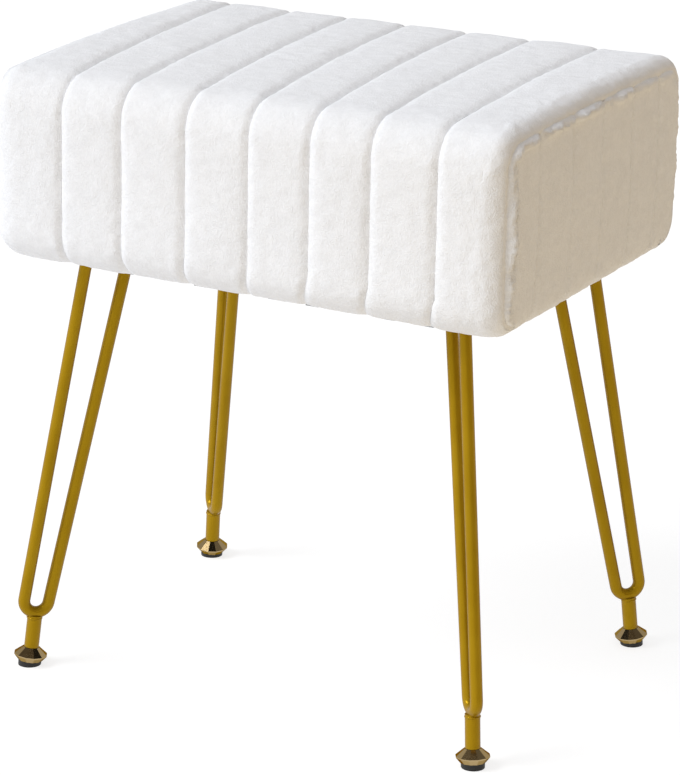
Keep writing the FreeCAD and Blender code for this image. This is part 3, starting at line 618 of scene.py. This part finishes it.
def channel_stops(per_channel, per_roll):
    """Columns across the strip: a roll, the channels with stops close at their seams, and a roll."""
    close = np.sin(np.linspace(-1, 1, per_channel + 1) * math.pi / 2)
    stops = [("roll", -1, share) for share in np.linspace(1, 0, per_roll + 1)[:-1]]
    for channel in range(CHANNELS):
        last = None if channel == CHANNELS - 1 else -1
        stops += [("channel", channel, share) for share in close[:last]]
    stops += [("roll", 1, share) for share in np.linspace(0, 1, per_roll + 1)[1:]]
    return stops


def pull_left(x):
    """The stuffing sits a little to the left: the left end stands out and the right end draws in."""
    share = np.clip((np.abs(x) / wrap_high.x - FULLER_FROM) / (1 - FULLER_FROM), 0, 1)
    return x - np.where(x < 0, FULLER_LEFT, SLIMMER_RIGHT) * share


def roll_profile(share, roll):
    """How far short of its reach and how deep the strip's end goes: a wide roll, then a curl."""
    radius, turned = roll
    wide = radius * turned
    gone = share * (wide + CURL_RADIUS * (CURL_ANGLE - turned))
    shift = radius - CURL_RADIUS
    reach = shift * math.sin(turned) + CURL_RADIUS
    if gone <= wide:
        angle = gone / radius
        return reach - radius * math.sin(angle), radius * (1 - math.cos(angle))
    angle = turned + (gone - wide) / CURL_RADIUS
    short = reach - shift * math.sin(turned) - CURL_RADIUS * math.sin(angle)
    return short, radius - shift * math.cos(turned) - CURL_RADIUS * math.cos(angle)


def blended_roll(share, upward):
    """Shortfall and depth for each row, from the side roll to the top one as the strip lies down."""
    side_short, side_deep = roll_profile(share, SIDE_ROLL)
    top_short, top_deep = roll_profile(share, TOP_ROLL)
    short = side_short + (top_short - side_short) * upward
    deep = side_deep + (top_deep - side_deep) * upward
    return short, deep


def wrap_grid(rows, stops):
    """Every place of the strip, row by row along the outline, and which of them are sewn down."""
    distance = np.linspace(0, run[-1], rows)
    seams = seam_places(distance)
    centre = np.stack([np.interp(distance, run, outline[:, axis]) for axis in (0, 1)], axis=1)
    away = np.stack([np.interp(distance, run, outward[:, axis]) for axis in (0, 1)], axis=1)
    upward = np.clip(away[:, 1:], 0, 1)
    roll_start = wrap_high.x - blended_roll(0, upward)[0]
    walls = np.hstack((-roll_start, seams, roll_start))
    from_flap = np.minimum(distance, run[-1] - distance)
    notch = np.clip((from_flap - NOTCH_FROM) / (NOTCH_FULL - NOTCH_FROM), 0, 1)
    places = np.zeros((rows, len(stops), 3))
    sewn = np.zeros((rows, len(stops)), bool)
    for column, (kind, which, share) in enumerate(stops):
        if kind == "roll":
            short, deep = blended_roll(share, upward)
            across = which * (wrap_high.x - short)[:, 0]
            depth = deep + SLACK
            sewn[:, column] = share > SEWN_FROM
        else:
            wide = walls[:, which + 1] - walls[:, which]
            across = walls[:, which] + wide * (share + 1) / 2
            at_roll = (which == 0 and share < 0) or (which == CHANNELS - 1 and share > 0)
            from_seam = wide * (1 - abs(share)) / 2
            valley = np.clip(1 - from_seam / SEAM_REACH, 0, 1) ** 2
            pillow = PILLOW * (1 - share ** 2)
            if at_roll:
                valley, pillow = 0 * valley, PILLOW * (1 - share ** 4)
            depth = (SLACK + SEAM_DEPTH * valley * notch - pillow)[:, None]
            sewn[:, column] = abs(share) > AT_SEAM and not at_roll
        higher = TOP_TILT * across / wrap_high.x * upward[:, 0]
        places[:, column, 0] = pull_left(across)
        places[:, column, 1:] = centre - away * (depth - higher[:, None])
    sewn[(0, -1), :] = True
    return places, sewn


print("channels", CHANNELS, "seams", [round(value / MM) for value in FRONT_SEAMS])

# %% [markdown]
# The fill puffs each channel. A coarse copy of the strip is inflated as cloth, held at its seams and
# edges, and what each point moves is limited to the little that firm foam allows. The same
# movement, read off between the points, then goes on the fine strip.

# %% Filling the cover
PRESSURE = 4.0
SIM_FRAMES = 20
PUFF_LIMIT = 0.4 * MM


def grid_piece(name, places, backwards=False):
    """A grid whose points go to the given places, row by row."""
    rows, columns, _ = places.shape
    bpy.ops.object.select_all(action="DESELECT")
    bpy.ops.mesh.primitive_grid_add(x_subdivisions=columns - 1, y_subdivisions=rows - 1, size=1)
    piece = bpy.context.object
    piece.name = name
    flat = places[:, ::-1] if backwards else places
    piece.data.vertices.foreach_set("co", flat.reshape(-1).astype(np.float32))
    piece.data.update()
    return piece


def puff(places, sewn):
    """How far each point of a sewn sheet moves when it is filled."""
    sheet = grid_piece("filling", places)
    held = sheet.vertex_groups.new(name="sewn")
    held.add([int(point) for point in np.flatnonzero(sewn.ravel())], 1.0, "REPLACE")
    cloth = sheet.modifiers.new("Filling", "CLOTH")
    cloth.settings.vertex_group_mass = "sewn"
    cloth.settings.use_pressure = True
    cloth.settings.uniform_pressure_force = PRESSURE
    cloth.settings.effector_weights.gravity = 0
    for step in range(1, SIM_FRAMES + 1):
        bpy.context.scene.frame_set(step)
    filled = sheet.evaluated_get(bpy.context.evaluated_depsgraph_get())
    moved = np.zeros(places.size)
    filled.data.vertices.foreach_get("co", moved)
    moved = moved.reshape(places.shape) - places
    bpy.context.scene.frame_set(1)
    bpy.data.objects.remove(sheet)
    reach = np.linalg.norm(moved, axis=2, keepdims=True) + 1e-9
    print("filling moved points up to", round(float(reach.max()) / MM, 2), "mm")
    return moved / reach * PUFF_LIMIT * np.tanh(reach / PUFF_LIMIT)


def between(coarse, factor):
    """A coarse grid's values, read at evenly added rows and columns."""
    rows, columns, _ = coarse.shape
    fine_rows = np.linspace(0, rows - 1, (rows - 1) * factor + 1)
    fine_columns = np.linspace(0, columns - 1, (columns - 1) * factor + 1)
    row, row_share = np.divmod(fine_rows, 1)
    row = row.astype(int)
    below = np.minimum(row + 1, rows - 1)
    share = row_share[:, None, None]
    by_row = coarse[row] * (1 - share) + coarse[below] * share
    column, column_share = np.divmod(fine_columns, 1)
    column = column.astype(int)
    beside = np.minimum(column + 1, columns - 1)
    share = column_share[None, :, None]
    return by_row[:, column] * (1 - share) + by_row[:, beside] * share


# %% [markdown]
# The nap never stands quite even. Each point of the fine strip gets a small push along its own
# outward direction, from broad soft swells down to tufts, so that the surface is uneven in its
# shape and not only in its shading. A back sheet then closes each cover into a solid pad.

# %% Nap and backing
SWELL_SIZE = 45 * MM
SWELL_HEIGHT = 0.8 * MM
TUFT_SIZE = 7 * MM
TUFT_HEIGHT = 0.45 * MM
CLUMP_SIZE = 3.2 * MM
CLUMP_HEIGHT = 0.22 * MM


def nap_push(place):
    """How far the nap stands out at a place."""
    swell = noise.noise(place / SWELL_SIZE) * SWELL_HEIGHT
    tuft = noise.noise(place / TUFT_SIZE) * TUFT_HEIGHT
    clump = noise.noise(place / CLUMP_SIZE) * CLUMP_HEIGHT
    return swell + tuft + clump


def raise_nap(piece):
    """Push every point of a cover out or in along its normal."""
    mesh = piece.data
    pushed = [vertex.co + vertex.normal * nap_push(vertex.co) for vertex in mesh.vertices]
    for vertex, place in zip(mesh.vertices, pushed):
        vertex.co = place
    mesh.update()


def close_back(piece, rows, columns, inner_first, inner_last):
    """Close a grid into a pad: a rim along its two long borders, and a back sheet between them."""
    shell = bmesh.new()
    shell.from_mesh(piece.data)
    shell.verts.ensure_lookup_table()
    first = [shell.verts[row * columns] for row in range(rows)]
    last = [shell.verts[row * columns + columns - 1] for row in range(rows)]
    low = [shell.verts[column] for column in range(columns)]
    high = [shell.verts[(rows - 1) * columns + column] for column in range(columns)]
    left = [shell.verts.new(place) for place in inner_first]
    right = [shell.verts.new(place) for place in inner_last]
    for row in range(rows - 1):
        shell.faces.new((first[row], first[row + 1], left[row + 1], left[row]))
        shell.faces.new((last[row + 1], last[row], right[row], right[row + 1]))
        shell.faces.new((left[row], left[row + 1], right[row + 1], right[row]))
    shell.faces.new(low + [right[0], left[0]])
    shell.faces.new(high[::-1] + [left[-1], right[-1]])
    bmesh.ops.recalc_face_normals(shell, faces=shell.faces)
    shell.to_mesh(piece.data)
    shell.free()
    piece.data.polygons.foreach_set("use_smooth", [True] * len(piece.data.polygons))


# %% [markdown]
# The strip is made on a coarse grid, filled there, and then made again on a grid twice as fine.

# %% Cover strip
ROW_STEP = 4 * MM
PER_CHANNEL = 12
PER_ROLL = 6
FINER = 2
COVER_THICKNESS = 7.2 * MM

coarse_rows = int(run[-1] / ROW_STEP) + 1
coarse, sewn = wrap_grid(coarse_rows, channel_stops(PER_CHANNEL, PER_ROLL))
filled = between(puff(coarse, sewn), FINER)
rows = (coarse_rows - 1) * FINER + 1
fine, _ = wrap_grid(rows, channel_stops(PER_CHANNEL * FINER, PER_ROLL * FINER))
cover = grid_piece("plush_cover", fine + filled)
raise_nap(cover)
columns = fine.shape[1]
distance = np.linspace(0, run[-1], rows)
inner = np.zeros((rows, 3))
for axis in (0, 1):
    inner[:, axis + 1] = np.interp(distance, run, outline[:, axis] - outward[:, axis] * COVER_THICKNESS)
inner[:, 0] = pull_left(wrap_high.x - SLACK)
inner_left = inner.copy()
inner_left[:, 0] = pull_left(SLACK - wrap_high.x)
close_back(cover, rows, columns, inner_left, inner)
cover.data.materials.append(plush)
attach(cover, "root")
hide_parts("cover_wrap")
print("cover strip", len(cover.data.polygons), "faces")

# %% [markdown]
# An end panel closes each short side. It is sewn inside the strip's rolled edge, so its own edge
# dips into the seam and springs up out of it, and that shoulder catches the light. Five upright
# seams part it into six softer channels, and its lower end turns in under the seat to a flap.

# %% End panel form
PANEL_SIDE_INSET = 9.5 * MM
PANEL_TOP_INSET = 8 * MM
PANEL_SIDE = SIDE - PANEL_SIDE_INSET
PANEL_BULGE = 2 * MM
PANEL_BACK = 1 * MM
PANEL_FACE = panel_high.x - PANEL_BULGE - PANEL_BACK
PANEL_EDGE_DROP = 7 * MM
PANEL_EDGE_WIDTH = 4 * MM
PANEL_LIP = 3.0 * MM
PANEL_LIP_PLACE = 5.5 * MM
PANEL_LIP_WIDTH = 3.6 * MM
PANEL_LIP_FAR = 0.25
LIP_TUFT = 2.4 * MM
LIP_TUFT_HEIGHT = 2.6 * MM
LIP_SWELL = 13 * MM
LIP_SWELL_HEIGHT = 3.6 * MM
LIP_FAINT = 0.05
PANEL_SEAMS = np.array((-90, -37, 12, 60, 105)) * MM
PANEL_SEAM_DEPTH = 3.4 * MM
PANEL_SEAM_REACH = 6 * MM
PANEL_LOW_RADIUS = 16 * MM
CLOSE_ROWS = 0.45
PANEL_FLAP = panel_low.x
CORNER_SIDE = TOP_EDGE - PANEL_SIDE_INSET
CORNER_TOP = TOP_EDGE - PANEL_TOP_INSET
TOP_CENTRE_Y = SIDE - TOP_EDGE
TOP_CENTRE_Z = TOP - CROWN + math.sqrt((CROWN - TOP_EDGE) ** 2 - TOP_CENTRE_Y ** 2)
LOW_CENTRE_Y = SIDE - LOW_EDGE
LOW_CENTRE_Z = UNDERSIDE + LOW_EDGE


def panel_top(y):
    """The height of the panel's seam over a place across the seat."""
    beside = np.clip((np.abs(y) - TOP_CENTRE_Y) / CORNER_SIDE, 0, 1)
    corner = TOP_CENTRE_Z + CORNER_TOP * np.sqrt(1 - beside ** 2)
    crown = TOP - CROWN + np.sqrt((CROWN - PANEL_TOP_INSET) ** 2 - y ** 2)
    return np.where(np.abs(y) > TOP_CENTRE_Y, corner, crown)


def panel_narrow(z):
    """The share that the panel's half width loses at a height, where the seat's lower edges turn in."""
    radius = LOW_EDGE - PANEL_SIDE_INSET
    fall = np.clip(LOW_CENTRE_Z - z, 0, radius)
    width = LOW_CENTRE_Y + np.sqrt(radius ** 2 - fall ** 2)
    return 1 - width / PANEL_SIDE


def panel_edge_distance(y, z):
    """How far a place on the panel lies inside its seam."""
    beside = PANEL_SIDE - np.abs(y)
    under = panel_top(y) - z
    over_y = (np.abs(y) - TOP_CENTRE_Y) / CORNER_SIDE
    over_z = (z - TOP_CENTRE_Z) / CORNER_TOP
    rounded = (1 - np.hypot(over_y, over_z)) * (CORNER_SIDE + CORNER_TOP) / 2
    in_corner = (over_y > 0) & (over_z > 0)
    return np.clip(np.where(in_corner, rounded, np.minimum(beside, under)), 0, None)


def lip_share(y, inside):
    """How much of the edge's ridge a place has. The ridge is full in front and low at the back."""
    full = np.interp(y, (0, PANEL_SIDE), (1, PANEL_LIP_FAR))
    return full * np.exp(-((inside - PANEL_LIP_PLACE) / PANEL_LIP_WIDTH) ** 2)


def panel_columns(per_channel):
    """Places across the panel, closer at its seams and edges, and how far each is from a seam."""
    walls = np.concatenate(((-PANEL_SIDE,), PANEL_SEAMS, (PANEL_SIDE,)))
    close = np.sin(np.linspace(-1, 1, per_channel + 1) * math.pi / 2)
    across = []
    for channel in range(len(walls) - 1):
        stops = close if channel == len(walls) - 2 else close[:-1]
        across += list(walls[channel] + (walls[channel + 1] - walls[channel]) * (stops + 1) / 2)
    across = np.array(across)
    return across, np.abs(across[:, None] - PANEL_SEAMS).min(axis=1)


def panel_grid(per_channel, face_rows, arc_rows, flap_rows):
    """Every place of the right-hand panel, row by row from its flap up to its top seam."""
    across, from_seam = panel_columns(per_channel)
    face_low = UNDERSIDE + PANEL_LOW_RADIUS
    arc_centre_x = PANEL_FACE - PANEL_LOW_RADIUS
    seam_drop = PANEL_SEAM_DEPTH * np.clip(1 - from_seam / PANEL_SEAM_REACH, 0, 1) ** 2
    same = np.ones_like(across)
    grid = []
    for reach in np.linspace(PANEL_FLAP, arc_centre_x, flap_rows, endpoint=False):
        grid.append((reach * same, UNDERSIDE * same, 0, 0))
    for angle in np.linspace(-math.pi / 2, 0, arc_rows, endpoint=False):
        x = arc_centre_x + PANEL_LOW_RADIUS * math.cos(angle)
        z = face_low + PANEL_LOW_RADIUS * math.sin(angle)
        grid.append((x * same, z * same, math.cos(angle), 1 + math.sin(angle)))
    close = 0.5 - 0.5 * np.cos(np.linspace(0, 1, face_rows) * math.pi)
    for up in CLOSE_ROWS * close + (1 - CLOSE_ROWS) * np.linspace(0, 1, face_rows):
        z = face_low + (panel_top(across) - face_low) * up
        grid.append((PANEL_FACE + PANEL_BULGE * (1 - (2 * up - 1) ** 2) * same, z, 1, 1))
    places = np.zeros((len(grid), len(across), 3))
    for row, (x, z, seam_share, edge_share) in enumerate(grid):
        narrow = panel_narrow(np.minimum(z, LOW_CENTRE_Z))
        y = across * (1 - narrow * np.abs(across / PANEL_SIDE) ** 4)
        inside = panel_edge_distance(across, z)
        edge = PANEL_EDGE_DROP * np.clip(1 - inside / PANEL_EDGE_WIDTH, 0, 1) ** 2
        lip = PANEL_LIP * lip_share(across, inside)
        places[row, :, 0] = x - seam_drop * seam_share - (edge - lip) * edge_share
        places[row, :, 1] = y
        places[row, :, 2] = z
    return places, from_seam


def lip_tufts(y, z):
    """How far the ruffled fur along the panel's edge stands out."""
    inside = panel_edge_distance(y, z)
    near = lip_share(y, inside) * (z > UNDERSIDE + PANEL_LOW_RADIUS)
    stands = np.zeros_like(y)
    for spot in zip(*np.nonzero(near > LIP_FAINT)):
        tuft = noise.noise(Vector((0.5, y[spot] / LIP_TUFT, z[spot] / LIP_TUFT)))
        swell = noise.noise(Vector((0.5, y[spot] / LIP_SWELL, z[spot] / LIP_SWELL)))
        stands[spot] = (tuft * LIP_TUFT_HEIGHT + swell * LIP_SWELL_HEIGHT) * near[spot]
    return stands


print("panel seams", [round(value / MM) for value in PANEL_SEAMS])

# %% [markdown]
# Both panels come from one grid. The left one is its mirror image, with its own filling and nap.

# %% End panels
PANEL_PER_CHANNEL = 12
PANEL_ROWS = (36, 7, 4)
PANEL_THICKNESS = 5 * MM
ON_SEAM = 0.01 * MM


def make_end_panel(name, node, side):
    """Sew, fill and nap one end panel. side is 1 for the right end and -1 for the left."""
    coarse, from_seam = panel_grid(PANEL_PER_CHANNEL, *PANEL_ROWS)
    sewn = np.zeros(coarse.shape[:2], bool)
    sewn[:, from_seam < ON_SEAM] = True
    sewn[:, (0, 1, -2, -1)] = True
    sewn[(0, -2, -1), :] = True
    facing = np.array((side, 1, 1))
    movement = puff(coarse, sewn) * facing
    finer_rows = coarse.shape[0] * FINER - 1
    resampled = between(coarse, FINER)
    filled = between(movement, FINER)
    resampled[:, :, 0] += lip_tufts(resampled[:, :, 1], resampled[:, :, 2])
    lifted = np.clip((resampled[:, :, 2] - LOW_CENTRE_Z) / (TOP - LOW_CENTRE_Z), 0, 1)
    resampled[:, :, 2] += side * TOP_TILT * lifted
    sided = resampled * facing
    sided[:, :, 0] = pull_left(sided[:, :, 0])
    panel = grid_piece(name, sided + filled, backwards=side < 0)
    raise_nap(panel)
    columns = resampled.shape[1]
    edge = np.array([tuple(panel.data.vertices[row * columns].co) for row in range(finer_rows)])
    far = np.array([tuple(panel.data.vertices[(row + 1) * columns - 1].co) for row in range(finer_rows)])
    inward = np.array((-side * PANEL_THICKNESS, 0, 0))
    flap = np.abs(edge[:, 0]) < abs(PANEL_FACE) - PANEL_LOW_RADIUS
    lifts = np.where(flap[:, None], np.array((0, 0, PANEL_THICKNESS)), inward)
    close_back(panel, finer_rows, columns, edge + lifts, far + lifts)
    panel.data.materials.append(plush)
    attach(panel, "root")
    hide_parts(node)
    print(name, len(panel.data.polygons), "faces")


make_end_panel("plush_right_end", "right_end_panel", 1)
make_end_panel("plush_left_end", "left_end_panel", -1)

# %% [markdown]
# The foam block fills the cover and wraps the edges of the board. It is a cut block with rounded
# edges, so a cube is added at its size, its edges are bevelled, and the board's bed is cut out.

# %% Foam block
FOAM_CLEAR = 4 * MM
FOAM_EDGE = 20 * MM
FOAM_SEGMENTS = 6
FOAM_SIDE_SHARE = 0.2

foam_low, foam_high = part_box("foam_block")
board_low, board_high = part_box("seat_board")


def add_block(name, low, high):
    """A cube between two corners, with its place in its mesh."""
    bpy.ops.object.select_all(action="DESELECT")
    bpy.ops.mesh.primitive_cube_add(size=1, location=(low + high) / 2, scale=high - low)
    bpy.ops.object.transform_apply(location=True, rotation=False, scale=True)
    block = bpy.context.object
    block.name = name
    return block


def apply_modifiers(piece):
    """Turn a piece's modifiers into its mesh."""
    bpy.ops.object.select_all(action="DESELECT")
    piece.select_set(True)
    bpy.context.view_layer.objects.active = piece
    for modifier in list(piece.modifiers):
        bpy.ops.object.modifier_apply(modifier=modifier.name)


clear = Vector((FOAM_CLEAR, FOAM_CLEAR, 0))
foam = add_block("foam_core", foam_low + clear, foam_high - clear - Vector((0, 0, FOAM_CLEAR)))
for edge in foam.data.edges:
    ends = [foam.data.vertices[index].co for index in edge.vertices]
    along_x = abs(ends[0].x - ends[1].x) > FOAM_EDGE
    at_top = min(ends[0].z, ends[1].z) > board_high.z
    weights = foam.data.attributes.get("bevel_weight_edge")
    if weights is None:
        weights = foam.data.attributes.new("bevel_weight_edge", "FLOAT", "EDGE")
    weights.data[edge.index].value = 1.0 if along_x and at_top else FOAM_SIDE_SHARE
bevel = foam.modifiers.new("Rounded", "BEVEL")
bevel.limit_method = "WEIGHT"
bevel.width = FOAM_EDGE
bevel.segments = FOAM_SEGMENTS
bed_low = Vector((board_low.x - FOAM_CLEAR, board_low.y - FOAM_CLEAR, foam_low.z - FOAM_CLEAR))
bed_high = Vector((board_high.x + FOAM_CLEAR, board_high.y + FOAM_CLEAR, board_high.z + FOAM_CLEAR))
bed = add_block("board_bed", bed_low, bed_high)
cut = foam.modifiers.new("Bed", "BOOLEAN")
cut.object = bed
cut.operation = "DIFFERENCE"
apply_modifiers(foam)
bpy.data.objects.remove(bed)
foam.data.materials.clear()
foam.data.materials.append(foam_rubber)
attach(foam, "root")
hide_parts("foam_block")
print("foam", len(foam.data.polygons), "faces")

# %% [markdown]
# The dust cover is a light black cloth, stapled tight under the board. Tight cloth still ripples a
# little between its staples, so a grid of its size is sagged by a soft wave and given its thickness.

# %% Dust cover
dust_low, dust_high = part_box("dust_cover")
DUST_CELLS = (96, 64)
DUST_SAG = 0.35 * MM
DUST_RIPPLE = 60 * MM
DUST_THICKNESS = 0.3 * MM

across = np.linspace(dust_low.x, dust_high.x, DUST_CELLS[0] + 1)
deep = np.linspace(dust_low.y, dust_high.y, DUST_CELLS[1] + 1)
cloth_places = np.zeros((len(deep), len(across), 3))
cloth_places[:, :, 0] = across[None, :]
cloth_places[:, :, 1] = deep[:, None]
for row, y in enumerate(deep):
    for column, x in enumerate(across):
        ripple = noise.noise(Vector((x, y, 0)) / DUST_RIPPLE)
        cloth_places[row, column, 2] = dust_high.z - DUST_SAG * (0.5 + 0.5 * ripple)
dust = grid_piece("dust_cloth", cloth_places)
thick = dust.modifiers.new("Thickness", "SOLIDIFY")
thick.thickness = DUST_THICKNESS
apply_modifiers(dust)
dust.data.materials.append(spunbond)
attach(dust, "root")
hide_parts("dust_cover")

# %% [markdown]
# Each leg has three welds under its gold coat: one round each end of the rod, where it meets the
# plate, and one where the bend sits in the stub. A bead is a ring of overlapping puddles, so a torus
# is added at its size, laid square to the rod, and rippled round its length.

# %% Weld beads
BEAD_RADIUS = 0.9 * MM
ROD_RADIUS = 4.5 * MM
STUB_RADIUS = 5.5 * MM
BEAD_SUNK = 0.6
BEAD_STEPS = (56, 10)
PUDDLES = 14
PUDDLE_HEIGHT = 0.12 * MM
END_BAND = 0.4 * MM
STUB_WELD_HEIGHT = 36.6 * MM


def rod_ends(leg):
    """The middles of the rod's two sawn ends, where they meet the plate."""
    points = np.array([tuple(vertex.co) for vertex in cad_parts[f"{leg}_rod"].data.vertices])
    ends = points[points[:, 2] > points[:, 2].max() - END_BAND]
    along = ends[:, :2] @ np.array(LEGS[leg])
    middle = (along.min() + along.max()) / 2
    groups = (ends[along < middle], ends[along >= middle])
    return [Vector((group.min(axis=0) + group.max(axis=0)) / 2) for group in groups]


def add_bead(place, axis, ring_radius, bead_radius):
    """A rippled ring of weld about an axis."""
    bpy.ops.object.select_all(action="DESELECT")
    bpy.ops.mesh.primitive_torus_add(
        major_radius=ring_radius, minor_radius=bead_radius,
        major_segments=BEAD_STEPS[0], minor_segments=BEAD_STEPS[1],
    )
    bead = bpy.context.object
    for vertex in bead.data.vertices:
        turn_round = math.atan2(vertex.co.y, vertex.co.x)
        ripple = abs(math.sin(turn_round * PUDDLES / 2)) * PUDDLE_HEIGHT
        ring = Vector((math.cos(turn_round), math.sin(turn_round), 0)) * ring_radius
        vertex.co += (vertex.co - ring).normalized() * ripple
    square = axis.to_track_quat("Z", "Y").to_matrix().to_4x4()
    bead.data.transform(Matrix.Translation(place) @ square)
    return bead


for leg in LEGS:
    foot_low, foot_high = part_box(f"{leg}_pad")
    foot = (foot_low + foot_high) / 2
    foot.z = 0
    stub_low, stub_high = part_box(f"{leg}_stub")
    stub_top = (stub_low + stub_high) / 2
    lean = Vector((stub_top.x - foot.x, stub_top.y - foot.y, stub_top.z))
    weld_place = foot + lean * (STUB_WELD_HEIGHT / lean.z)
    beads = [add_bead(weld_place, lean, STUB_RADIUS - BEAD_SUNK * BEAD_RADIUS, BEAD_RADIUS)]
    for end in rod_ends(leg):
        beads.append(add_bead(end, end - weld_place, ROD_RADIUS, BEAD_RADIUS))
    bpy.ops.object.select_all(action="DESELECT")
    for bead in beads:
        bead.select_set(True)
    bpy.context.view_layer.objects.active = beads[0]
    bpy.ops.object.join()
    welds = bpy.context.object
    welds.name = f"{leg}_welds"
    welds.data.polygons.foreach_set("use_smooth", [True] * len(welds.data.polygons))
    welds.data.materials.append(gold_coat)
    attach(welds, "root")
    print(leg, "welds at", [round(value / MM) for value in weld_place])
